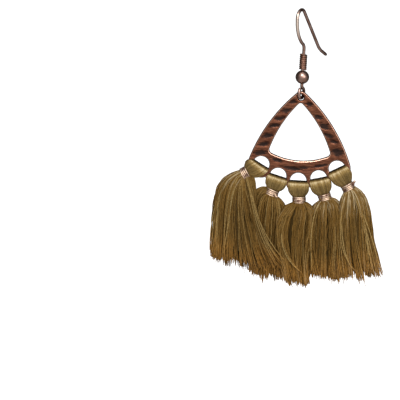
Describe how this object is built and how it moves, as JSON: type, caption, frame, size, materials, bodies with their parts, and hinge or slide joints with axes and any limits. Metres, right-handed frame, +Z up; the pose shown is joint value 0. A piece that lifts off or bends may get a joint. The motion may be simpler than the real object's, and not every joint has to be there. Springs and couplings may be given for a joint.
{
  "type": "tassel drop earring",
  "caption": "Drop earring for the right ear: wire hook with bead and coil, hammered copper-coloured frame with a window, and tied thread tassels along its lower edge.",
  "frame": {"origin": "underside of the hook's top bend, where the earring hangs in the ear", "axes": "+Z up, from the tassels to the hook; +X along the row of tassels, to the right as seen from the front; +Y from the front face to the back, through the frame's thickness"},
  "size_m": [0.0368, 0.0141, 0.0609],
  "materials": {
    "hook_metal": "polished, darkened to a mauve brown",
    "frame_metal": "hammered antique copper plate, worn bright along its edges",
    "thread": "glossy olive gold rayon threads",
    "tie_metal": "pale rose craft wire"
  },
  "bodies": {
    "hook": {"ear_hook": "hook_metal", "hook_bead": "hook_metal"},
    "coil": {"hook_coil": "hook_metal"},
    "drop": {"hammered_frame": "frame_metal", "tassel_1": "thread", "tassel_2": "thread", "tassel_3": "thread", "tassel_4": "thread", "tassel_5": "thread", "tie_1": "tie_metal", "tie_2": "tie_metal", "tie_3": "tie_metal", "tie_4": "tie_metal", "tie_5": "tie_metal"}
  },
  "joints": [
    {"name": "coil_slide", "type": "slide", "parent": "hook", "child": "coil", "axis": [0, 0, 1], "range_m": [0, 0.001]},
    {"name": "drop_swing", "type": "hinge", "parent": "hook", "child": "drop", "pos_m": [0.00094, 0.00193, -0.01891], "axis": [0, 1, 0], "range_deg": [-45, 45]}
  ]
}
